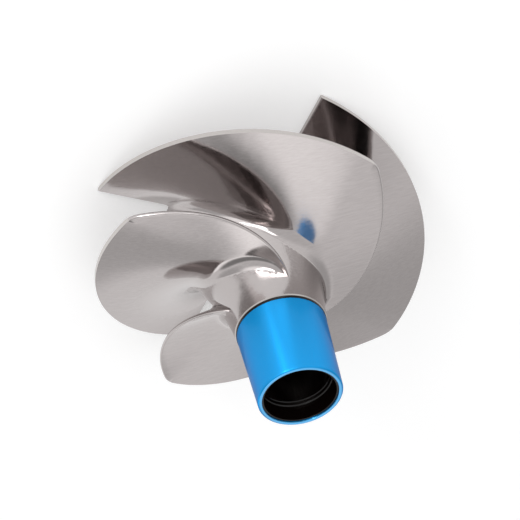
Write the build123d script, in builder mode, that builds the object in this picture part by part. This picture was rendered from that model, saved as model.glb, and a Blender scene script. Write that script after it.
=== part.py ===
"""Mixed-flow pump impeller with the boot sleeve of its drive shaft.

One stainless casting carries four overlapping helical blades on a tapered hub. A tapered aluminium sleeve,
lined with rubber, is pushed on to the spigot of the hub's nose and closes on a seal ring there.

Millimetres. +Z runs along the shaft, from the outlet towards the inlet. The outlet plane, on which the
casting was faced off and on which it stands, is Z = 0, and the shaft's axis is X = Y = 0.
"""
import os
from math import atan2, comb, degrees, exp, log, radians

from build123d import *

# Blades. Thicknesses are measured along the shaft
BLADE_COUNT = 4
TIP_DIAMETER = 159.0          # machined over the tips, to run in a standard pump bore
TIP_WRAP = 104.8              # degrees that a tip turns through, from leading corner to trailing edge
CORNER_HEIGHT = 41.4          # of the leading corner's middle above the outlet plane
CORNER_RADIUS = 9.0           # of the leading corner, seen along the shaft
TIP_BOW = 5.1                 # control of how far the tip's course bulges over a straight helix
TIP_THICKNESS = 2.7
LEADING_THICKNESS = 2.4
ROOT_THICKNESS = 6.4          # half-way along the root, thinning to both ends
ROOT_FILLET = 5.0
FIRST_BLADE_ANGLE = 39.5      # of the first blade's leading corner, from +X about +Z

# Leading edge: a swept curve from the leading corner back and up to the hub's nose
LEADING_SWEEP = 66.8          # degrees
LEADING_ROOT_HEIGHT = 64.2
LEADING_ROOT_DEPTH = 2.0      # how deep in the hub the leading edge ends

# Root: heights that control its course round the hub, between the leading and the trailing edge
ROOT_EARLY_HEIGHT = 38.4
ROOT_MIDDLE_HEIGHT = 56.4
ROOT_LATE_HEIGHT = 25.6

# Hub, outside: radii that control its waisted outline from outlet to nose
HUB_OUTLET_RADIUS = 42.5
HUB_LOWER_RADIUS = 38.6
HUB_UPPER_RADIUS = 23.0
NOSE_RADIUS = 21.4
NOSE_HEIGHT = 74.0
NOSE_CHAMFER = 0.5

# Hub, inside: a hollow open to the outlet side, round the boss that takes the pump's shaft
HUB_WALL = 5.5
HOLLOW_DEPTH = 40.0
HOLLOW_ROUNDING = 2.5
BOSS_RADIUS = 19.0
BOSS_RECESS = 8.0             # how far the boss stops short of the outlet plane
BORE_CHAMFER = 1.5
THREAD_RADIUS = 11.0          # of the plain hole for the pump shaft's thread
THREAD_LENGTH = 26.0
RELIEF_RADIUS = 14.2          # of the undercut between thread and spline
RELIEF_LENGTH = 5.0
SPLINE_TEETH = 20
SPLINE_MINOR_RADIUS = 12.2
SPLINE_MAJOR_RADIUS = 13.6
SPLINE_GROOVE_WIDTH = 1.9
SPLINE_LENGTH = 32.0
ENTRY_RADIUS = 14.2           # of the plain bore over the spline, through the spigot

# Spigot on the nose, which carries the sleeve
SPIGOT_LENGTH = 12.0
SPIGOT_CHAMFER = 0.8
SPIGOT_CLEARANCE = 0.05       # radial, under the sleeve

# Sleeve: a tapered tube, widest at the nose
SLEEVE_BASE_RADIUS = 20.9
SLEEVE_MOUTH_RADIUS = 19.2
SLEEVE_BORE_RADIUS = 17.25
SLEEVE_MOUTH_HEIGHT = 115.9
SLEEVE_LIP_ROUNDING = 1.0
SLEEVE_EDGE_CHAMFER = 0.3

# Seal ring, squeezed between the nose and the sleeve
SEAL_GAP = 0.9
SEAL_WIDTH = 1.7
SEAL_INSET = 0.35             # from the sleeve's outer edge
SEAL_ROUNDING = 0.4

# Rubber liner of the sleeve, with one lip that seals on the drive shaft's collar
LINER_WALL = 0.8
LINER_CLEARANCE = 0.05        # radial, in the sleeve
LINER_INSET = 0.8             # from the sleeve's mouth
LINER_ROUNDING = 0.3
LIP_DEPTH = 10.1              # of the lip's middle under the mouth
LIP_WIDTH = 2.7
LIP_HEIGHT = 0.5

# How the blades are lofted and trimmed
LEADING_STATIONS = 9
TIP_STATIONS = 9
TRIM_ALLOWANCE = 8.0          # how far a blade is cast past its machined tip
CORNER_EASE = 4.5             # degrees over which the faces turn from the leading edge's course to the tip's
CAST_IN = 3.0                 # how deep a blade's root runs into the hub's wall
FILLET_SINK = 0.12            # how deep the root fillet's edge lies under the hub's surface
HUB_OUTLINE_STEPS = 6

SWEEP_SHARES = (0.0, 0.295, 0.67, 1.0)   # control shares of the leading edge's sweep and rise
RISE_SHARES = (0.0, 0.17, 0.72, 1.0)

TIP_RADIUS = TIP_DIAMETER / 2
TRAILING_HEIGHT = TIP_THICKNESS / 2
THREAD_TOP = BOSS_RECESS + THREAD_LENGTH
SPLINE_FOOT = THREAD_TOP + RELIEF_LENGTH
SPLINE_TOP = SPLINE_FOOT + SPLINE_LENGTH
SPIGOT_RADIUS = SLEEVE_BORE_RADIUS - SPIGOT_CLEARANCE
SPIGOT_TOP = NOSE_HEIGHT + SPIGOT_LENGTH
SLEEVE_BASE_HEIGHT = NOSE_HEIGHT + SEAL_GAP


def bezier(controls, share):
    """Value at a share of the way along the Bezier course that these control values give."""
    order = len(controls) - 1
    weights = (comb(order, i) * share**i * (1 - share) ** (order - i) for i in range(order + 1))
    return sum(weight * value for weight, value in zip(weights, controls))


def hub_point(height, depth=0.0):
    """Point at a depth under the hub's outside, as radius and height."""
    outline = (HUB_OUTLET_RADIUS, HUB_LOWER_RADIUS, HUB_UPPER_RADIUS, NOSE_RADIUS)
    return Vector(bezier(outline, height / NOSE_HEIGHT) - depth, height)


def root_share(angle):
    """How far along the blade's root a section lies, by its angle after the leading corner."""
    return (angle + LEADING_SWEEP) / (LEADING_SWEEP + TIP_WRAP)


def root_height(angle):
    """Height of the blade's middle where it meets the hub."""
    course = (LEADING_ROOT_HEIGHT, ROOT_EARLY_HEIGHT, ROOT_MIDDLE_HEIGHT, ROOT_LATE_HEIGHT, TRAILING_HEIGHT)
    return bezier(course, root_share(angle))


def root_thickness(angle):
    """Thickness at the root, least at the leading and the trailing edge."""
    share = root_share(angle)
    return LEADING_THICKNESS + (ROOT_THICKNESS - LEADING_THICKNESS) * 4 * share * (1 - share)


def flank(angle, edge, side, sink):
    """Points of a section's upper (side 1) or lower (side -1) flank: edge, root fillet and foot."""
    corner = hub_point(root_height(angle) + side * root_thickness(angle) / 2, sink)
    out = (edge - corner).normalized()
    up = (hub_point(corner.Y + side, sink) - corner).normalized()
    middle = (out + up).normalized()
    slope = middle.dot(out)
    reach = min(ROOT_FILLET, (edge - corner).length / 2)
    radius = reach * (1 - slope**2) ** 0.5 / slope
    start = corner + out * reach
    bend = corner + middle * (reach / slope - radius)
    stop = hub_point(corner.Y + up.Y * reach, sink + FILLET_SINK)
    foot = hub_point(corner.Y + up.Y * reach, sink + CAST_IN)
    return edge, start, bend, stop, foot


def blade_section(angle, radius, height, edge_thickness, overrun=0.0, sink=0.0):
    """Section of a blade in the plane through the shaft at this angle after the leading corner."""
    outward = (Vector(radius, height) - hub_point(root_height(angle), sink)).normalized()
    upward = Vector(-outward.Y, outward.X)
    end = Vector(radius, height) + outward * overrun
    half = edge_thickness / 2
    upper = flank(angle, end + upward * half, 1, sink)
    lower = flank(angle, end - upward * half, -1, sink)
    with BuildSketch(Plane.XZ.rotated((0, 0, angle))) as section:
        with BuildLine():
            ThreePointArc(upper[0], end + outward * half, lower[0])
            for edge, start, bend, stop, foot in (upper, lower):
                Line(edge, start)
                ThreePointArc(start, bend, stop)
                Line(stop, foot)
            Line(upper[-1], lower[-1])
        make_face()
    return section.sketch


def leading_edge(share):
    """Angle, radius and height of the leading edge, at a share of its way from the corner to the hub."""
    angle = -LEADING_SWEEP * bezier(SWEEP_SHARES, share)
    rise = (LEADING_ROOT_HEIGHT - CORNER_HEIGHT) * bezier(RISE_SHARES, share)
    return angle, TIP_RADIUS - LEADING_SPAN * share, CORNER_HEIGHT + rise


def tip_edge(angle):
    """Angle, radius and height of the tip's middle."""
    course = (CORNER_HEIGHT, (CORNER_HEIGHT + TRAILING_HEIGHT) / 2 + TIP_BOW, TRAILING_HEIGHT)
    return angle, TIP_RADIUS, bezier(course, angle / TIP_WRAP)


def height_at_tip(angle, radius, height):
    """Height at which the straight section through this edge point reaches the tip's radius."""
    root = hub_point(root_height(angle))
    return root.Y + (height - root.Y) * (TIP_RADIUS - root.X) / (radius - root.X)


def eased(angle, radius, height):
    """The edge point, lowered so that the blade's faces turn gently and without a crease at the corner."""
    root = hub_point(root_height(angle))
    share = (radius - root.X) / (TIP_RADIUS - root.X)
    ease = CORNER_KINK * CORNER_EASE * log(1 + exp(-abs(angle) / CORNER_EASE))
    return angle, radius, height + ease * share


def leading_section(share):
    """Section that ends at the leading edge, at a share of its way from the corner to the hub."""
    return blade_section(
        *eased(*leading_edge(share)),
        edge_thickness=LEADING_THICKNESS,
        overrun=-LEADING_THICKNESS / 2,
        sink=2 * LEADING_ROOT_DEPTH * share**LEADING_STATIONS,
    )


def tip_section(share):
    """Section that ends past the machined tip, at a share of its way from the leading corner."""
    angle = TIP_WRAP * share
    return blade_section(
        *eased(*tip_edge(angle)),
        edge_thickness=TIP_THICKNESS,
        overrun=TRIM_ALLOWANCE * (1 - exp(-angle / TRIM_ALLOWANCE)) - TIP_THICKNESS / 2,
    )


LEADING_SPAN = TIP_RADIUS - hub_point(LEADING_ROOT_HEIGHT, LEADING_ROOT_DEPTH).X
CORNER_SWEEP = radians(LEADING_SWEEP) * SWEEP_SHARES[1] * (len(SWEEP_SHARES) - 1)
CORNER_DIRECTION = degrees(atan2(-TIP_RADIUS * CORNER_SWEEP, -LEADING_SPAN))

# Change of the faces' slope at the corner, in millimetres per degree, before it is eased
BEFORE_CORNER = leading_edge(0.001)
AFTER_CORNER = tip_edge(-BEFORE_CORNER[0])
CORNER_TURN = height_at_tip(*BEFORE_CORNER) - 2 * CORNER_HEIGHT + height_at_tip(*AFTER_CORNER)
CORNER_KINK = CORNER_TURN / AFTER_CORNER[0]


# One blade, cast past its tip, then trimmed at the tip and the outlet plane, with its leading corner rounded
with BuildPart() as blade:
    loft(
        [leading_section(1 - i / LEADING_STATIONS) for i in range(LEADING_STATIONS)]
        + [tip_section(i / TIP_STATIONS) for i in range(TIP_STATIONS + 1)]
    )
    with BuildSketch() as trim:
        Circle(TIP_RADIUS)
        with Locations(Location((TIP_RADIUS, 0), CORNER_DIRECTION)):
            Rectangle(TIP_DIAMETER, TIP_DIAMETER, align=(Align.MIN, Align.MIN), mode=Mode.SUBTRACT)
        fillet(trim.vertices(), CORNER_RADIUS)
    extrude(amount=NOSE_HEIGHT, mode=Mode.INTERSECT)

# The casting: the hub turned to its half section, its splined socket, and the blades
with BuildPart() as impeller:
    with BuildSketch(Plane.XZ) as half_section:
        with BuildLine():
            rim_height = NOSE_HEIGHT - NOSE_CHAMFER
            steps = [i / HUB_OUTLINE_STEPS for i in range(HUB_OUTLINE_STEPS + 1)]
            outside = [hub_point(rim_height * step) for step in steps]
            inside = [hub_point(HOLLOW_DEPTH * step, HUB_WALL) for step in steps]
            Spline(outside)
            Polyline(
                outside[-1],
                (NOSE_RADIUS - NOSE_CHAMFER, NOSE_HEIGHT),
                (SPIGOT_RADIUS, NOSE_HEIGHT),
                (SPIGOT_RADIUS, SPIGOT_TOP - SPIGOT_CHAMFER),
                (SPIGOT_RADIUS - SPIGOT_CHAMFER, SPIGOT_TOP),
                (ENTRY_RADIUS + SPIGOT_CHAMFER, SPIGOT_TOP),
                (ENTRY_RADIUS, SPIGOT_TOP - SPIGOT_CHAMFER),
                (ENTRY_RADIUS, SPLINE_TOP),
                (SPLINE_MINOR_RADIUS, SPLINE_TOP - BORE_CHAMFER),
                (SPLINE_MINOR_RADIUS, SPLINE_FOOT),
                (RELIEF_RADIUS, SPLINE_FOOT),
                (RELIEF_RADIUS, THREAD_TOP),
                (THREAD_RADIUS, THREAD_TOP),
                (THREAD_RADIUS, BOSS_RECESS + BORE_CHAMFER),
                (THREAD_RADIUS + BORE_CHAMFER, BOSS_RECESS),
                (BOSS_RADIUS, BOSS_RECESS),
                (BOSS_RADIUS, HOLLOW_DEPTH),
                inside[-1],
            )
            Spline(inside)
            Line(inside[0], outside[0])
        make_face()
        hollow_corners = [v for v in half_section.vertices() if abs(v.Y - HOLLOW_DEPTH) < 0.01]
        fillet(hollow_corners, HOLLOW_ROUNDING)
    revolve(axis=Axis.Z)
    with BuildSketch(Plane.XY.offset(SPLINE_FOOT)):
        groove_foot = SPLINE_MINOR_RADIUS - BORE_CHAMFER
        with PolarLocations((groove_foot + SPLINE_MAJOR_RADIUS) / 2, SPLINE_TEETH):
            Rectangle(SPLINE_MAJOR_RADIUS - groove_foot, SPLINE_GROOVE_WIDTH)
    extrude(amount=SPLINE_LENGTH, mode=Mode.SUBTRACT)
    with PolarLocations(0, BLADE_COUNT, start_angle=FIRST_BLADE_ANGLE):
        add(blade.part)

# Tapered sleeve, with a rounded mouth
with BuildPart() as boot_sleeve:
    with BuildSketch(Plane.XZ) as wall:
        with BuildLine():
            Polyline(
                (SLEEVE_BORE_RADIUS, SLEEVE_BASE_HEIGHT),
                (SLEEVE_BASE_RADIUS, SLEEVE_BASE_HEIGHT),
                (SLEEVE_MOUTH_RADIUS, SLEEVE_MOUTH_HEIGHT),
                (SLEEVE_BORE_RADIUS, SLEEVE_MOUTH_HEIGHT),
                close=True,
            )
        make_face()
        base_corners, mouth_corners = wall.vertices().group_by(Axis.Y)
        chamfer(base_corners, SLEEVE_EDGE_CHAMFER)
        fillet(mouth_corners.sort_by(Axis.X)[-1], SLEEVE_LIP_ROUNDING)
        chamfer(wall.vertices().group_by(Axis.Y)[-1].sort_by(Axis.X)[0], SLEEVE_EDGE_CHAMFER)
    revolve(axis=Axis.Z)

# Seal ring between the nose and the sleeve
with BuildPart() as seal_ring:
    with BuildSketch(Plane.XZ):
        with Locations((SLEEVE_BASE_RADIUS - SEAL_INSET - SEAL_WIDTH / 2, NOSE_HEIGHT + SEAL_GAP / 2)):
            RectangleRounded(SEAL_WIDTH, SEAL_GAP, SEAL_ROUNDING)
    revolve(axis=Axis.Z)

# Liner in the sleeve, standing on the spigot
with BuildPart() as sleeve_liner:
    with BuildSketch(Plane.XZ) as wall:
        with BuildLine():
            outer = SLEEVE_BORE_RADIUS - LINER_CLEARANCE
            inner = outer - LINER_WALL
            top = SLEEVE_MOUTH_HEIGHT - LINER_INSET
            lip = SLEEVE_MOUTH_HEIGHT - LIP_DEPTH
            lip_foot = (inner, lip - LIP_WIDTH / 2)
            lip_head = (inner, lip + LIP_WIDTH / 2)
            Polyline(lip_foot, (inner, SPIGOT_TOP), (outer, SPIGOT_TOP), (outer, top), (inner, top), lip_head)
            ThreePointArc(lip_head, (inner - LIP_HEIGHT, lip), lip_foot)
        make_face()
        fillet(wall.vertices().group_by(Axis.Y)[-1].sort_by(Axis.X)[0], LINER_ROUNDING)
    revolve(axis=Axis.Z)

os.makedirs("parts", exist_ok=True)
impeller.part.label = "impeller"
export_step(impeller.part, "parts/impeller.step")
boot_sleeve.part.label = "boot_sleeve"
export_step(boot_sleeve.part, "parts/boot_sleeve.step")
seal_ring.part.label = "seal_ring"
export_step(seal_ring.part, "parts/seal_ring.step")
sleeve_liner.part.label = "sleeve_liner"
export_step(sleeve_liner.part, "parts/sleeve_liner.step")
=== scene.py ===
"""Looks of the pump impeller: polished casting, anodised sleeve, seal ring and rubber liner.

Lengths in the geometry are millimetres, as the piece is measured. A mesh is turned to metres when it is
made. Angles on a blade are degrees about the shaft, counted from the blade's leading corner.
"""
from math import atan2, comb, cos, exp, log, pi, radians, sin, sqrt

import bpy
from mathutils import Matrix, Vector


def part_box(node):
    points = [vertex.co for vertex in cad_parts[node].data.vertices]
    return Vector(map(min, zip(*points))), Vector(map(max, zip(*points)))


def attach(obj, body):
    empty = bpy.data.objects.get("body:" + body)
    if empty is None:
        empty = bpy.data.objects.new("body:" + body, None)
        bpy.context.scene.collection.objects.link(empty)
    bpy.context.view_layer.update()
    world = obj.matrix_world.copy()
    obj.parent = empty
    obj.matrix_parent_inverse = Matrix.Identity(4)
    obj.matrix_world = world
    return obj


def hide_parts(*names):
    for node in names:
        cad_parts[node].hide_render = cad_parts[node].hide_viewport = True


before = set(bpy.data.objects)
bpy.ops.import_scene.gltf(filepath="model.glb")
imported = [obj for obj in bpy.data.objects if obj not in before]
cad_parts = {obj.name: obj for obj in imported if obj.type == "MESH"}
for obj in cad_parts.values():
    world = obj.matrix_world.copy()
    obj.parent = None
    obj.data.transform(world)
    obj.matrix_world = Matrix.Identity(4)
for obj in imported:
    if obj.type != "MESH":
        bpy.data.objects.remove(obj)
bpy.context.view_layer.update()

MM = 0.001

# Sizes that the frame gives
SEAL_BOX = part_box("seal_ring")
SLEEVE_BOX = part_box("boot_sleeve")
IMPELLER_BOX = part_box("impeller")
NOSE_HEIGHT = SEAL_BOX[0].z / MM
SLEEVE_BASE_HEIGHT = SEAL_BOX[1].z / MM
SLEEVE_MOUTH_HEIGHT = SLEEVE_BOX[1].z / MM
SPIGOT_TOP = IMPELLER_BOX[1].z / MM
TIP_RADIUS = IMPELLER_BOX[1].x / MM

# Blades, as the casting was drawn
BLADE_COUNT = 4
FIRST_BLADE_ANGLE = 39.5      # degrees from +X to the first blade's leading corner
TIP_WRAP = 104.8              # degrees that a tip turns through, to its trailing edge
TIP_BOW = 5.1                 # control of how far the tip's course bulges over a straight one
TIP_THICKNESS = 2.7
CORNER_HEIGHT = 41.4          # of the leading corner's middle above the outlet plane
CORNER_BLEND = 1.85           # over which the leading edge's course blends into the tip
CORNER_EASE = 4.5             # degrees over which the faces' slope turns at the leading corner
LEADING_THICKNESS = 2.4
LEADING_SWEEP = 66.8          # degrees that the leading edge turns back through, to the hub
LEADING_ROOT_HEIGHT = 64.2
LEADING_ROOT_DEPTH = 2.0      # of the leading edge's end under the hub's surface
LEADING_SINK_POWER = 9        # how late along the leading edge its sections sink into the hub
SWEEP_SHARES = (0.0, 0.295, 0.67, 1.0)   # control shares of the leading edge's sweep
RISE_SHARES = (0.0, 0.17, 0.72, 1.0)     # and of its rise
ROOT_HEIGHTS = (38.4, 56.4, 25.6)        # control heights of the root's course round the hub
ROOT_THICKNESS = 6.4
ROOT_FILLET = 5.0
CAST_IN = 3.0                 # how deep a root runs into the hub's wall
FILLET_SINK = 0.03            # how deep the fillet's edge lies under the hub's surface
TRAILING_ROUNDING = 0.8       # along the tip, at its trailing end
TRAILING_SHARE = 0.45         # of the thickness that is left at the end of the trailing rounding
THICKENING = 10               # degrees over which the leading edge's thickness grows to the tip's
SQUARE_FROM = -1.5            # degrees at which the rounded edge starts to turn square
SQUARE_OVER = 4.5             # degrees over which it does
LAND_FROM = 0.8               # degrees at which the turned finish of the tip starts
PROBE = 0.001                 # share of the leading edge by which its course at the corner is read

# Hub and bores
HUB_RADII = (42.5, 38.6, 23.0, 21.4)     # control radii from the outlet plane to the nose
NOSE_CHAMFER = 0.5
HUB_WALL = 5.5
HOLLOW_DEPTH = 40.0
HOLLOW_ROUNDING = 2.5
BOSS_RADIUS = 19.0
BOSS_RECESS = 8.0
BOSS_ROUNDING = 1.0
BORE_CHAMFER = 1.5
THREAD_RADIUS = 11.0
THREAD_TOP = 34.0
RELIEF_RADIUS = 14.2
SPLINE_FOOT = 39.0
SPLINE_TOP = 71.0
SPLINE_TEETH = 20
SPLINE_MINOR_RADIUS = 12.2
SPLINE_MAJOR_RADIUS = 13.6
ENTRY_RADIUS = 14.2
SPIGOT_RADIUS = 17.2
SPIGOT_CHAMFER = 0.8

# Sleeve and the seal ring squeezed against it
SLEEVE_BORE_RADIUS = 17.25
SLEEVE_BASE_RADIUS = 20.9
SLEEVE_MOUTH_RADIUS = 19.2
SLEEVE_BORE_ROUNDING = 0.2
MOUTH_ROUNDING = 1.0
MOUTH_INNER_ROUNDING = 0.3
# The cut face's lighter blue round the mouth is partly a painted highlight.
BRIGHT_CUT_AND_HIGHLIGHT_WIDTH = 1.35       # of the cut face round the mouth, from the bore
SEAL_WIDTH = 1.7              # radial, before it is squeezed
SEAL_ROUNDING = 0.12
SEAL_BULGE = 0.2              # past the sleeve's outside
SEAL_LAP = 0.5                # over the chamfer of the sleeve's end

# Rubber liner in the sleeve, with a lip and a bead on it that grip near the mouth
LINER_WALL = 0.8
LINER_CLEARANCE = 0.05
LINER_INSET = 0.8             # from the sleeve's mouth
LINER_ROUNDING = 0.15
LIP_DEPTH = 10.1              # of the lip's middle under the mouth
LIP_WIDTH = 2.7               # along the shaft
LIP_HEIGHT = 0.5
LIP_HEAD_ROUNDING = 0.2
LIP_CREST_DROP = 0.4          # of the lip's crest under its head
LIP_CREST_ROUNDING = 0.35
BEAD_HEIGHT = 0.3
BEAD_CREST = 0.4              # of the bead's crest above the lip's foot
BEAD_NECK = 0.7               # of the bead's foot on the lip, above the lip's foot
BEAD_ROUNDING = 0.12
CREASE_ROUNDING = 0.1

# Fineness of the meshes
ROUND_STEPS = 240
LEADING_STEPS = 96
TIP_STEPS = 140
TRAILING_STEPS = 5
FLANK_STEPS = 12
FILLET_STEPS = 16
NOSE_STEPS = 10
OUTSIDE_STEPS = 60
HOLLOW_STEPS = 30
METAL_SHARP_ANGLE = 35
RUBBER_SHARP_ANGLE = 60

# Order of the finishes on the casting and on the sleeve
POLISHED_FINISH, TURNED_FINISH, AS_CAST_FINISH = range(3)
SATIN_FINISH, BRIGHT_CUT_AND_HIGHLIGHT_FINISH = range(2)


def bezier(controls, share):
    """Value at a share of the way along the Bezier course that these control values give."""
    order = len(controls) - 1
    return sum(comb(order, i) * share**i * (1 - share) ** (order - i) * c for i, c in enumerate(controls))


def smooth_step(value):
    """0 to 1, with a gentle start and end, while the value goes from 0 to 1."""
    value = min(1.0, max(0.0, value))
    return value * value * (3 - 2 * value)


def hub_point(height, depth=0.0):
    """Point at a depth under the hub's outside, as radius and height."""
    return Vector((bezier(HUB_RADII, height / NOSE_HEIGHT) - depth, height))


def root_share(angle):
    """How far along the blade's root a section lies."""
    return (angle + LEADING_SWEEP) / (LEADING_SWEEP + TIP_WRAP)


def root_height(angle):
    """Height at which a section's middle meets the hub."""
    return bezier((LEADING_ROOT_HEIGHT, *ROOT_HEIGHTS, TIP_THICKNESS / 2), root_share(angle))


def root_thickness(angle):
    """Thickness of a section at the hub, greatest half way along the root."""
    share = root_share(angle)
    return LEADING_THICKNESS + (ROOT_THICKNESS - LEADING_THICKNESS) * 4 * share * (1 - share)


def leading_curve(share):
    """Angle, radius and height of the leading edge at a share of its way from the corner to the hub."""
    span = TIP_RADIUS - hub_point(LEADING_ROOT_HEIGHT, LEADING_ROOT_DEPTH).x
    rise = LEADING_ROOT_HEIGHT - CORNER_HEIGHT
    angle = -LEADING_SWEEP * bezier(SWEEP_SHARES, share)
    return angle, TIP_RADIUS - span * share, CORNER_HEIGHT + rise * bezier(RISE_SHARES, share)


def tip_height(angle):
    """Height of the tip's middle."""
    course = (CORNER_HEIGHT, (CORNER_HEIGHT + TIP_THICKNESS / 2) / 2 + TIP_BOW, TIP_THICKNESS / 2)
    return bezier(course, angle / TIP_WRAP)


def height_at_tip(angle, radius, height):
    """Where the straight section through this edge point reaches the tip's radius."""
    root = hub_point(root_height(angle))
    return root.y + (height - root.y) * (TIP_RADIUS - root.x) / (radius - root.x)


def corner_kink():
    """Change of the faces' slope at the leading corner, per degree, if nothing eased it."""
    before = leading_curve(PROBE)
    step = -before[0]
    after = height_at_tip(step, TIP_RADIUS, tip_height(step))
    return (height_at_tip(*before) - 2 * CORNER_HEIGHT + after) / step


KINK = corner_kink()


def eased(angle, radius, height):
    """Height of an edge point with the faces' slope turned gently at the leading corner."""
    root = hub_point(root_height(angle))
    share = (radius - root.x) / (TIP_RADIUS - root.x)
    return height + KINK * CORNER_EASE * log(1 + exp(-abs(angle) / CORNER_EASE)) * share


def rounded_corner(radius):
    """Radius of the blade's end where the leading edge's course blends into the tip."""
    blend = max(CORNER_BLEND - abs(radius - TIP_RADIUS), 0) / CORNER_BLEND
    return min(radius, TIP_RADIUS) - blend**2 * CORNER_BLEND / 4


def edge_roundness(angle):
    """1 where the blade's edge is round, 0 where it is the machined tip's square land."""
    return 1 - smooth_step((angle - SQUARE_FROM) / SQUARE_OVER)


def arc(centre, start, stop, radius, steps):
    """Points on the shorter arc about a centre, from the way of one point towards that of another."""
    first = atan2(start.y - centre.y, start.x - centre.x)
    turn = (atan2(stop.y - centre.y, stop.x - centre.x) - first + pi) % (2 * pi) - pi
    ways = [first + turn * i / steps for i in range(steps + 1)]
    return [centre + Vector((cos(way), sin(way))) * radius for way in ways]


def flank(angle, edge, side, sink, thickness_share):
    """Points of one flank of a section, from its edge through its root fillet to its foot in the hub."""
    corner = hub_point(root_height(angle) + side * root_thickness(angle) * thickness_share / 2, sink)
    out = (edge - corner).normalized()
    up = (hub_point(corner.y + side, sink) - corner).normalized()
    middle = (out + up).normalized()
    slope = middle.dot(out)
    reach = min(ROOT_FILLET, (edge - corner).length / 2)
    radius = reach * sqrt(1 - slope**2) / slope
    start = corner + out * reach
    stop = hub_point(corner.y + up.y * reach, sink + FILLET_SINK)
    foot = hub_point(corner.y + up.y * reach, sink + CAST_IN)
    straight = [edge.lerp(start, i / FLANK_STEPS) for i in range(FLANK_STEPS)]
    fillet = arc(corner + middle * (reach / slope), start, stop, radius, FILLET_STEPS)
    return [*straight, *fillet[:-1], stop, foot]


def section(angle, edge, end_radius, thickness, sink=0.0, thickness_share=1.0):
    """Outline of a blade in a plane through the shaft, towards its edge point and to its end radius."""
    roundness = edge_roundness(angle)
    root = hub_point(root_height(angle), sink)
    outward = (Vector(edge) - root).normalized()
    upward = Vector((-outward.y, outward.x))
    half = thickness * thickness_share / 2
    middle = root + outward * ((end_radius - half * roundness - root.x) / outward.x)
    nose = []
    for i in range(NOSE_STEPS + 1):
        way = pi / 2 - pi * i / NOSE_STEPS
        point = middle + upward * half * sin(way)
        square = outward * ((middle.x - point.x) / outward.x)
        nose.append(point + square * (1 - roundness) + outward * half * cos(way) * roundness)
    upper = flank(angle, nose[0], 1, sink, thickness_share)
    lower = flank(angle, nose[-1], -1, sink, thickness_share)
    return [*reversed(upper), *nose[1:-1], *lower]


def leading_sections():
    """Sections with their angles, from the leading edge's root out to the leading corner."""
    found = []
    for i in range(LEADING_STEPS):
        share = 1 - i / LEADING_STEPS
        angle, radius, height = leading_curve(share)
        edge = (radius, eased(angle, radius, height))
        sink = 2 * LEADING_ROOT_DEPTH * share**LEADING_SINK_POWER
        found.append((angle, section(angle, edge, rounded_corner(radius), LEADING_THICKNESS, sink)))
    return found


def tip_sections():
    """Sections with their angles, from the leading corner along the tip to the rounded trailing edge."""
    angle, radius, _ = leading_curve(PROBE)
    slope = -angle / (TIP_RADIUS - radius)
    trailing = TRAILING_ROUNDING / (radians(TIP_WRAP) * TIP_RADIUS)
    shares = [i / TIP_STEPS for i in range(TIP_STEPS)]
    shares += [1 - trailing * (1 - sin(pi / 2 * i / TRAILING_STEPS)) for i in range(TRAILING_STEPS + 1)]
    found = []
    for share in shares:
        angle = TIP_WRAP * share
        edge = (TIP_RADIUS, eased(angle, TIP_RADIUS, tip_height(angle)))
        end_radius = rounded_corner(TIP_RADIUS + angle / slope)
        thin = 1 - smooth_step(angle / THICKENING)
        thickness = TIP_THICKNESS + (LEADING_THICKNESS - TIP_THICKNESS) * thin
        left = min(1.0, (1 - share) / trailing)
        thickness_share = TRAILING_SHARE + (1 - TRAILING_SHARE) * sqrt(1 - (1 - left) ** 2)
        found.append((angle, section(angle, edge, end_radius, thickness, 0.0, thickness_share)))
    return found


def mesh_object(name, points, faces, materials, finishes):
    """Object of a closed mesh, from points in millimetres. None of its points lies under the floor."""
    mesh = bpy.data.meshes.new(name)
    mesh.from_pydata([(x * MM, y * MM, max(z, 0) * MM) for x, y, z in points], [], faces)
    for material in materials:
        mesh.materials.append(material)
    mesh.polygons.foreach_set("material_index", finishes)
    mesh.update()
    piece = bpy.data.objects.new(name, mesh)
    bpy.context.scene.collection.objects.link(piece)
    return piece


def make_blade(index, materials):
    """One blade as a closed skin over its sections, with the turned finish on its tip."""
    sections = leading_sections() + tip_sections()
    ring = len(sections[0][1])
    points = []
    for angle, outline in sections:
        way = radians(FIRST_BLADE_ANGLE + angle + index * 360 / BLADE_COUNT)
        points += [(p.x * cos(way), p.x * sin(way), p.y) for p in outline]
    flank_size = FLANK_STEPS + FILLET_STEPS + 1
    faces = []
    finishes = []
    for i in range(len(sections) - 1):
        for j in range(ring):
            k = (j + 1) % ring
            faces.append((i * ring + j, i * ring + k, (i + 1) * ring + k, (i + 1) * ring + j))
            on_land = flank_size < j + 1 < ring - flank_size and sections[i][0] > LAND_FROM
            finishes.append(TURNED_FINISH if on_land else POLISHED_FINISH)
    faces.append(tuple(reversed(range(ring))))
    faces.append(tuple(range((len(sections) - 1) * ring, len(sections) * ring)))
    finishes += [POLISHED_FINISH] * 2
    return mesh_object(f"blade_{index}", points, faces, materials, finishes)


def round_corners(outline, steps=5):
    """Outline of (radius, height, rounding) points with each corner turned into an arc."""
    result = []
    for i, (x, y, rounding) in enumerate(outline):
        corner = Vector((x, y))
        if rounding == 0:
            result.append(corner)
            continue
        before = (Vector(outline[i - 1][:2]) - corner).normalized()
        after = (Vector(outline[(i + 1) % len(outline)][:2]) - corner).normalized()
        middle = (before + after).normalized()
        slope = middle.dot(before)
        reach = rounding * slope / sqrt(1 - slope**2)
        centre = corner + middle * (rounding / sqrt(1 - slope**2))
        result += arc(centre, corner + before * reach, corner + after * reach, rounding, steps)
    return result


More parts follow.
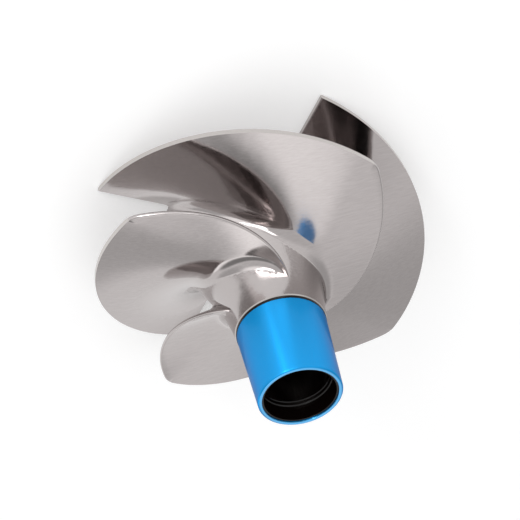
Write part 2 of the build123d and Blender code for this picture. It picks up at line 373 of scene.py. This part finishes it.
def turned(name, outline, materials, finish_at=None, in_groove=None):
    """Piece turned about the shaft from a closed outline, with spline grooves where in_groove says."""
    points = []
    for step in range(ROUND_STEPS):
        way = 2 * pi * step / ROUND_STEPS
        for p in outline:
            radius = SPLINE_MAJOR_RADIUS if in_groove and in_groove(p, step) else p.x
            points.append((radius * cos(way), radius * sin(way), p.y))
    ring = len(outline)
    faces = []
    finishes = []
    for i in range(ROUND_STEPS):
        n = (i + 1) % ROUND_STEPS
        for j in range(ring):
            k = (j + 1) % ring
            faces.append((i * ring + j, n * ring + j, n * ring + k, i * ring + k))
            finishes.append(finish_at((outline[j] + outline[k]) / 2) if finish_at else 0)
    return mesh_object(name, points, faces, materials, finishes)


def spline_groove(point, step):
    """Whether a point of the hub's outline lies in a spline groove at this step of the round."""
    touch = 0.1                   # below the limits, so that the teeth's foot counts and their top doesn't
    pitch = ROUND_STEPS // SPLINE_TEETH
    in_teeth = SPLINE_FOOT - touch < point.y < SPLINE_TOP - touch and point.x < SPLINE_MAJOR_RADIUS
    return in_teeth and step % pitch < pitch / 2


def hub_finish(point):
    """Finish of the hub: polished outside, as cast in the hollow, and turned elsewhere."""
    outlet_plane = 0.01           # height up to which a face lies in the outlet plane
    overlap = 0.1                 # of the area over the boss's face and the one under it
    skin = 0.4                    # depth down to which a face belongs to the outside
    margin = 1.0                  # of the hollow, for its roundings
    hollow = hub_point(min(point.y, NOSE_HEIGHT)).x - HUB_WALL
    beside_boss = BOSS_RADIUS - margin < point.x < hollow + margin
    if beside_boss and BOSS_RECESS < point.y < HOLLOW_DEPTH + margin:
        return AS_CAST_FINISH
    if BOSS_RADIUS < point.x < hollow + margin and outlet_plane < point.y < BOSS_RECESS + overlap:
        return AS_CAST_FINISH
    outer = point.x > hollow + HUB_WALL - skin and outlet_plane < point.y < NOSE_HEIGHT - NOSE_CHAMFER
    return POLISHED_FINISH if outer else TURNED_FINISH


def make_hub(materials):
    """Hub with its nose, spigot, splined socket, hollow and boss, as one turned body."""
    rim_height = NOSE_HEIGHT - NOSE_CHAMFER
    outside = [hub_point(rim_height * i / OUTSIDE_STEPS) for i in range(OUTSIDE_STEPS + 1)]
    inside = [hub_point(HOLLOW_DEPTH * i / HOLLOW_STEPS, HUB_WALL) for i in range(HOLLOW_STEPS)]
    room = 2.0                    # between the points of the hollow's wall and its rounding
    outline = [
        *[(*point, 0) for point in outside],
        (HUB_RADII[-1] - NOSE_CHAMFER, NOSE_HEIGHT, 0),
        (SPIGOT_RADIUS, NOSE_HEIGHT, 0),
        (SPIGOT_RADIUS, SPIGOT_TOP - SPIGOT_CHAMFER, 0),
        (SPIGOT_RADIUS - SPIGOT_CHAMFER, SPIGOT_TOP, 0),
        (ENTRY_RADIUS + SPIGOT_CHAMFER, SPIGOT_TOP, 0),
        (ENTRY_RADIUS, SPIGOT_TOP - SPIGOT_CHAMFER, 0),
        (ENTRY_RADIUS, SPLINE_TOP, 0),
        (SPLINE_MINOR_RADIUS, SPLINE_TOP - BORE_CHAMFER, 0),
        (SPLINE_MINOR_RADIUS, SPLINE_FOOT, 0),
        (RELIEF_RADIUS, SPLINE_FOOT, 0),
        (RELIEF_RADIUS, THREAD_TOP, 0),
        (THREAD_RADIUS, THREAD_TOP, 0),
        (THREAD_RADIUS, BOSS_RECESS + BORE_CHAMFER, 0),
        (THREAD_RADIUS + BORE_CHAMFER, BOSS_RECESS, 0),
        (BOSS_RADIUS, BOSS_RECESS, BOSS_ROUNDING),
        (BOSS_RADIUS, HOLLOW_DEPTH, HOLLOW_ROUNDING),
        (*hub_point(HOLLOW_DEPTH, HUB_WALL), HOLLOW_ROUNDING),
        *[(*point, 0) for point in reversed(inside) if point.y < HOLLOW_DEPTH - HOLLOW_ROUNDING - room],
    ]
    return turned("hub", round_corners(outline), materials, hub_finish, spline_groove)


def join_solids(base, others):
    """Fuses the others into the base, as one casting."""
    for other in others:
        modifier = base.modifiers.new("fuse", "BOOLEAN")
        modifier.operation = "UNION"
        modifier.solver = "MANIFOLD"
        modifier.object = other
    depsgraph = bpy.context.evaluated_depsgraph_get()
    fused = bpy.data.meshes.new_from_object(base.evaluated_get(depsgraph))
    base.modifiers.clear()
    base.data = fused
    for other in others:
        bpy.data.objects.remove(other)


def smooth(piece, sharp_angle):
    """Shades a piece smooth, with edges kept sharp where its faces turn by more than this angle."""
    piece.data.polygons.foreach_set("use_smooth", [True] * len(piece.data.polygons))
    piece.data.set_sharp_from_angle(angle=radians(sharp_angle))


def make_casting():
    """Hub and blades, as one casting."""
    materials = (hand_polished_stainless(), turned_stainless(), as_cast_stainless())
    piece = make_hub(materials)
    join_solids(piece, [make_blade(i, materials) for i in range(BLADE_COUNT)])
    piece.name = "casting"
    smooth(piece, METAL_SHARP_ANGLE)
    return piece


def sleeve_finish(point):
    """Finish of the sleeve: satin, with its end face cut bright round the mouth, where its lighter blue is
    partly a painted highlight.
    """
    on_end = point.y > SLEEVE_MOUTH_HEIGHT - MOUTH_INNER_ROUNDING
    return BRIGHT_CUT_AND_HIGHLIGHT_FINISH if on_end and point.x < SLEEVE_BORE_RADIUS + BRIGHT_CUT_AND_HIGHLIGHT_WIDTH else SATIN_FINISH


def make_sleeve():
    """Tapered sleeve, with a chamfer at its base and a rounded mouth."""
    outline = [
        (SLEEVE_BORE_RADIUS, SLEEVE_BASE_HEIGHT, SLEEVE_BORE_ROUNDING),
        (SLEEVE_BASE_RADIUS - SEAL_LAP, SLEEVE_BASE_HEIGHT, 0),
        (SLEEVE_BASE_RADIUS, SLEEVE_BASE_HEIGHT + SEAL_LAP, 0),
        (SLEEVE_MOUTH_RADIUS, SLEEVE_MOUTH_HEIGHT, MOUTH_ROUNDING),
        (SLEEVE_BORE_RADIUS, SLEEVE_MOUTH_HEIGHT, MOUTH_INNER_ROUNDING),
    ]
    materials = (blue_anodised_aluminium(), bright_cut_aluminium_with_painted_highlight())
    piece = turned("sleeve", round_corners(outline), materials, sleeve_finish)
    smooth(piece, METAL_SHARP_ANGLE)
    return piece


def make_ring(rubber):
    """Seal ring, squeezed out between the nose and the sleeve and a little over the sleeve's chamfer."""
    inner = SEAL_BOX[1].x / MM - SEAL_WIDTH
    outer = SLEEVE_BASE_RADIUS + SEAL_BULGE
    outline = [
        (inner, NOSE_HEIGHT, SEAL_ROUNDING),
        (outer, NOSE_HEIGHT, SEAL_ROUNDING),
        (outer, SLEEVE_BASE_HEIGHT + SEAL_LAP, SEAL_ROUNDING),
        (SLEEVE_BASE_RADIUS, SLEEVE_BASE_HEIGHT + SEAL_LAP, 0),
        (SLEEVE_BASE_RADIUS - SEAL_LAP, SLEEVE_BASE_HEIGHT, 0),
        (inner, SLEEVE_BASE_HEIGHT, SEAL_ROUNDING),
    ]
    piece = turned("ring", round_corners(outline), (rubber,))
    smooth(piece, RUBBER_SHARP_ANGLE)
    return piece


def make_liner(rubber):
    """Rubber liner of the sleeve, standing on the spigot, with its lip and the bead on the lip."""
    outer = SLEEVE_BORE_RADIUS - LINER_CLEARANCE
    inner = outer - LINER_WALL
    lip = inner - LIP_HEIGHT
    bead = lip - BEAD_HEIGHT
    top = SLEEVE_MOUTH_HEIGHT - LINER_INSET
    foot = SLEEVE_MOUTH_HEIGHT - LIP_DEPTH - LIP_WIDTH / 2
    head = foot + LIP_WIDTH
    outline = [
        (inner, SPIGOT_TOP, 0),
        (outer, SPIGOT_TOP, 0),
        (outer, top, 0),
        (inner, top, LINER_ROUNDING),
        (inner, head, LIP_HEAD_ROUNDING),
        (lip, head - LIP_CREST_DROP, LIP_CREST_ROUNDING),
        (lip, foot + BEAD_NECK, CREASE_ROUNDING),
        (bead, foot + BEAD_CREST, BEAD_ROUNDING),
        (bead, foot, CREASE_ROUNDING),
        (inner, foot, CREASE_ROUNDING),
    ]
    piece = turned("liner", round_corners(outline), (rubber,))
    smooth(piece, RUBBER_SHARP_ANGLE)
    return piece


def linear(hex_colour):
    """Linear colour of an sRGB hex value."""
    values = [int(hex_colour[i:i + 2], 16) / 255 for i in (1, 3, 5)]
    return (*[v / 12.92 if v <= 0.04045 else ((v + 0.055) / 1.055) ** 2.4 for v in values], 1.0)


def set_inputs(owner, node, **inputs):
    """Sets a node's inputs, by socket name or by iN for its place, to a value or to a node's output."""
    for key, value in inputs.items():
        socket = node.inputs[int(key[1:])] if key[1:].isdigit() else node.inputs[key.replace("_", " ")]
        if isinstance(value, bpy.types.NodeSocket):
            owner.node_tree.links.new(value, socket)
        else:
            socket.default_value = value


def add_node(owner, kind, settings=None, **inputs):
    """Adds a node to a material or a world, with its settings and inputs."""
    node = owner.node_tree.nodes.new(kind)
    for key, value in (settings or {}).items():
        setattr(node, key, value)
    set_inputs(owner, node, **inputs)
    return node


def new_material(name):
    """Material and its principled shader."""
    material = bpy.data.materials.new(name)
    material.use_nodes = True
    return material, material.node_tree.nodes["Principled BSDF"]


def hand_polished_stainless():
    """Cast stainless, ground and buffed by hand: clear, wavering reflections, hazed by fine marks."""
    swell_size = 9 * MM
    mark_length = 6 * MM
    material, shader = new_material("hand_polished_cast_stainless")
    place = add_node(material, "ShaderNodeTexCoord").outputs["Object"]
    # Slow unevenness that grinding leaves, so that the edges of reflections wander
    swell = add_node(material, "ShaderNodeTexNoise", Vector=place, Scale=1 / swell_size, Detail=1.0)
    # Buffing marks, nine times as long as wide, so that the polish looks worked and not like chrome
    drawn = add_node(
        material, "ShaderNodeMapping", Vector=place, Rotation=(0.3, 0.2, 0.9), Scale=(1, 9, 9),
    )
    marks = add_node(
        material, "ShaderNodeTexNoise", Vector=drawn.outputs[0], Scale=1 / mark_length, Detail=5.0,
    ).outputs["Fac"]
    haze = add_node(
        material, "ShaderNodeMapRange",
        Value=marks, From_Min=0.3, From_Max=0.7, To_Min=0.06, To_Max=0.13,
    )
    # Residue of the polish, a little darker where the marks lie deep
    tone = add_node(
        material, "ShaderNodeMapRange", {"data_type": "FLOAT_VECTOR"},
        i6=marks, i7=(0.25,) * 3, i8=(0.75,) * 3, i9=linear("#b3adac")[:3], i10=linear("#bcb6b5")[:3],
    )
    grooves = add_node(material, "ShaderNodeBump", Strength=1.0, Distance=0.0025 * MM, Height=marks)
    bump = add_node(
        material, "ShaderNodeBump",
        Strength=1.0, Distance=0.04 * MM, Height=swell.outputs["Fac"], Normal=grooves.outputs[0],
    )
    set_inputs(
        material, shader, Base_Color=tone.outputs["Vector"], Metallic=1.0,
        Roughness=haze.outputs[0], Normal=bump.outputs[0],
    )
    return material


def turned_stainless():
    """Stainless off the lathe: matte, with fine rings about the shaft that draw each highlight out."""
    ring_spacing = 0.25 * MM      # that the tool moves on at each turn
    material, shader = new_material("lathe_turned_stainless")
    place = add_node(material, "ShaderNodeTexCoord").outputs["Object"]
    split = add_node(material, "ShaderNodeSeparateXYZ", Vector=place)
    flat = add_node(material, "ShaderNodeCombineXYZ", X=split.outputs["X"], Y=split.outputs["Y"])
    radius = add_node(material, "ShaderNodeVectorMath", {"operation": "LENGTH"}, i0=flat.outputs[0])
    rings = add_node(material, "ShaderNodeCombineXYZ", X=radius.outputs["Value"], Y=split.outputs["Z"])
    grooves = add_node(
        material, "ShaderNodeTexNoise", Vector=rings.outputs[0], Scale=1 / ring_spacing, Detail=3.0,
    ).outputs["Fac"]
    bump = add_node(material, "ShaderNodeBump", Strength=1.0, Distance=0.008 * MM, Height=grooves)
    set_inputs(
        material, shader, Base_Color=linear("#c6c1be"), Metallic=1.0, Roughness=0.3,
        Normal=bump.outputs[0],
    )
    return material


def as_cast_stainless():
    """Stainless as cast and blasted: dull and grainy, so that the hollow reads as unworked."""
    grain_size = 0.6 * MM
    material, shader = new_material("as_cast_blasted_stainless")
    place = add_node(material, "ShaderNodeTexCoord").outputs["Object"]
    grain = add_node(
        material, "ShaderNodeTexNoise", Vector=place, Scale=1 / grain_size, Detail=4.0,
    ).outputs["Fac"]
    bump = add_node(material, "ShaderNodeBump", Strength=1.0, Distance=0.1 * MM, Height=grain)
    set_inputs(
        material, shader, Base_Color=linear("#97928f"), Metallic=1.0, Roughness=0.5,
        Normal=bump.outputs[0],
    )
    return material


def blue_anodised_aluminium():
    """Turned, blasted, blue anodised aluminium: satin, with a bright band along it and sides duller at a
    glancing view, partly from the dye and partly from painted shade in its dark edge tint.
    """
    grit_size = 0.35 * MM         # coarser than real grit, so that it shows close up
    material, shader = new_material("blue_anodised_turned_aluminium")
    place = add_node(material, "ShaderNodeTexCoord").outputs["Object"]
    speckle = add_node(
        material, "ShaderNodeTexNoise", Vector=place, Scale=1 / grit_size, Detail=2.0,
    ).outputs["Fac"]
    bump = add_node(material, "ShaderNodeBump", Strength=1.0, Distance=0.006 * MM, Height=speckle)
    along = add_node(material, "ShaderNodeTangent", {"direction_type": "RADIAL", "axis": "Z"})
    # The dark edge tint is partly painted shade: it darkens the sides at a glancing view more than the dye
    # itself does.
    set_inputs(
        material, shader, Base_Color=linear("#12a2ec"), Metallic=1.0, Roughness=0.38, Anisotropic=0.85,
        Anisotropic_Rotation=0.25, Tangent=along.outputs[0], Normal=bump.outputs[0],
        Specular_Tint=linear("#403020"), Coat_Weight=0.35, Coat_Roughness=0.15,
    )
    return material


def bright_cut_aluminium_with_painted_highlight():
    """Aluminium cut bright after blasting, then anodised: a light rim that shines round the mouth, its
    lighter blue partly a painted highlight.
    """
    material, shader = new_material("bright_cut_blue_aluminium_painted_highlight")
    # Lighter blue than the sleeve: partly the bright cut, partly a painted highlight for the rim's shine.
    set_inputs(
        material, shader, Base_Color=linear("#58b8f4"), Metallic=1.0, Roughness=0.12,
        Coat_Weight=1.0, Coat_Roughness=0.1,
    )
    return material


def moulded_rubber():
    """Black nitrile rubber from a polished mould: near black, with a thin shine along each edge."""
    skin_size = 0.5 * MM          # of the faint unevenness in the skin
    material, shader = new_material("moulded_black_nitrile_rubber")
    place = add_node(material, "ShaderNodeTexCoord").outputs["Object"]
    skin = add_node(
        material, "ShaderNodeTexNoise", Vector=place, Scale=1 / skin_size, Detail=3.0,
    ).outputs["Fac"]
    bump = add_node(material, "ShaderNodeBump", Strength=1.0, Distance=0.02 * MM, Height=skin)
    set_inputs(
        material, shader, Base_Color=linear("#0a0504"), Roughness=0.12, Specular_IOR_Level=0.38,
        Normal=bump.outputs[0],
    )
    return material


def make_camera():
    """Camera where the photograph was taken from: above the sleeve, and almost upside down."""
    elevation = radians(44.25)
    roll = radians(164.19)
    distance = 0.7534
    target = Vector((0, 0, 0.06))
    aside = -0.00695
    lift = 0.0213
    back = Vector((0, cos(elevation), sin(elevation)))
    level_up = Vector((0, -sin(elevation), cos(elevation)))
    level_right = level_up.cross(back)
    right = cos(roll) * level_right + sin(roll) * level_up
    up = cos(roll) * level_up - sin(roll) * level_right
    place = target + back * distance + right * aside + up * lift
    camera = bpy.data.objects.new("camera", bpy.data.cameras.new("camera"))
    bpy.context.scene.collection.objects.link(camera)
    camera.matrix_world = Matrix((
        (right.x, up.x, back.x, place.x),
        (right.y, up.y, back.y, place.y),
        (right.z, up.z, back.z, place.z),
        (0, 0, 0, 1),
    ))
    camera.data.sensor_width = 36.0
    camera.data.lens = 113.14
    bpy.context.scene.camera = camera


def pale_floor():
    """Matt pale floor, lifted to white where camera, metal or glass sees it, which keeps the shadow."""
    lift_strength = 0.33
    material, shader = new_material("pale_floor")
    path = add_node(material, "ShaderNodeLightPath")
    seen = path.outputs["Is Camera Ray"]
    for ray in ("Is Glossy Ray", "Is Transmission Ray"):
        seen = add_node(
            material, "ShaderNodeMath", {"operation": "MAXIMUM"}, i0=seen, i1=path.outputs[ray],
        ).outputs[0]
    lift = add_node(material, "ShaderNodeMath", {"operation": "MULTIPLY"}, i0=seen, i1=lift_strength)
    set_inputs(
        material, shader, Base_Color=linear("#e7e7e7"), Roughness=0.9, Specular_IOR_Level=0.0,
        Emission_Color=linear("#ffffff"), Emission_Strength=lift.outputs[0],
    )
    return material


def make_floor():
    """Square floor that the piece stands on, eight metres wide."""
    reach = 4.0
    corners = [(-reach, -reach, 0), (reach, -reach, 0), (reach, reach, 0), (-reach, reach, 0)]
    mesh = bpy.data.meshes.new("floor")
    mesh.from_pydata(corners, [], [(0, 1, 2, 3)])
    mesh.materials.append(pale_floor())
    piece = bpy.data.objects.new("floor", mesh)
    bpy.context.scene.collection.objects.link(piece)
    return piece


def direction(azimuth, elevation):
    """Unit vector from the object towards an azimuth from +X and an elevation, in degrees."""
    level = cos(radians(elevation))
    return Vector((level * cos(radians(azimuth)), level * sin(radians(azimuth)), sin(radians(elevation))))


def make_studio(horizon, zenith, glows):
    """Surroundings that fade from horizon to zenith, with glows by azimuth, elevation, reach and gain."""
    fade_height = 0.7             # of a direction of length 1, where the fade ends
    world = bpy.data.worlds.new("studio")
    bpy.context.scene.world = world
    world.use_nodes = True
    way = add_node(world, "ShaderNodeTexCoord").outputs["Generated"]
    height = add_node(world, "ShaderNodeSeparateXYZ", Vector=way).outputs["Z"]
    total = add_node(
        world, "ShaderNodeMapRange", {"interpolation_type": "SMOOTHSTEP"},
        Value=height, From_Min=0.0, From_Max=fade_height, To_Min=horizon, To_Max=zenith,
    ).outputs[0]
    for azimuth, elevation, reach, gain in glows:
        near = add_node(
            world, "ShaderNodeVectorMath", {"operation": "DOT_PRODUCT"},
            i0=way, i1=direction(azimuth, elevation),
        ).outputs["Value"]
        fade = add_node(
            world, "ShaderNodeMapRange", {"interpolation_type": "SMOOTHERSTEP"},
            Value=near, From_Min=cos(radians(reach)), From_Max=1.0, To_Min=0.0, To_Max=gain,
        ).outputs[0]
        total = add_node(world, "ShaderNodeMath", {"operation": "ADD"}, i0=total, i1=fade).outputs[0]
    background = world.node_tree.nodes["Background"]
    set_inputs(world, background, Color=linear("#ffffff"), Strength=total)


def softbox(name, azimuth, elevation, distance, size, radiance):
    """Area lamp that faces the object from a direction, by the brightness of its surface."""
    light = bpy.data.lights.new(name, "AREA")
    light.shape = "RECTANGLE"
    light.size, light.size_y = size
    light.energy = radiance * pi * size[0] * size[1]
    lamp = bpy.data.objects.new(name, light)
    bpy.context.scene.collection.objects.link(lamp)
    way = direction(azimuth, elevation)
    lamp.location = way * distance
    lamp.rotation_euler = way.to_track_quat("Z", "Y").to_euler()


casting = make_casting()
sleeve = make_sleeve()
rubber = moulded_rubber()
ring = make_ring(rubber)
liner = make_liner(rubber)

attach(casting, "root")
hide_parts("impeller")
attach(sleeve, "root")
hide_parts("boot_sleeve")
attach(ring, "root")
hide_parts("seal_ring")
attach(liner, "root")
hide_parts("sleeve_liner")

make_camera()
floor = make_floor()

# The surroundings' bright and dark areas, as the metal in the photograph mirrors them
make_studio(1.0, 0.98, (
    (236, 64, 16, 0.5),
    (205, 45, 23, -0.65),
    (227, 29, 16, 0.6),
    (252, 28, 18, -0.34),
    (114, 10, 31, 0.55),
    (329, 21, 60, -0.4),
    (110, 60, 57, -0.18),
    (168, 6, 36, -0.35),
))
softbox("front_strip", azimuth=108, elevation=20, distance=0.9, size=(0.15, 0.5), radiance=4.8)
softbox("front_shelf", azimuth=92, elevation=24, distance=0.9, size=(0.4, 0.15), radiance=2.6)

bpy.context.scene.view_settings.view_transform = "Standard"
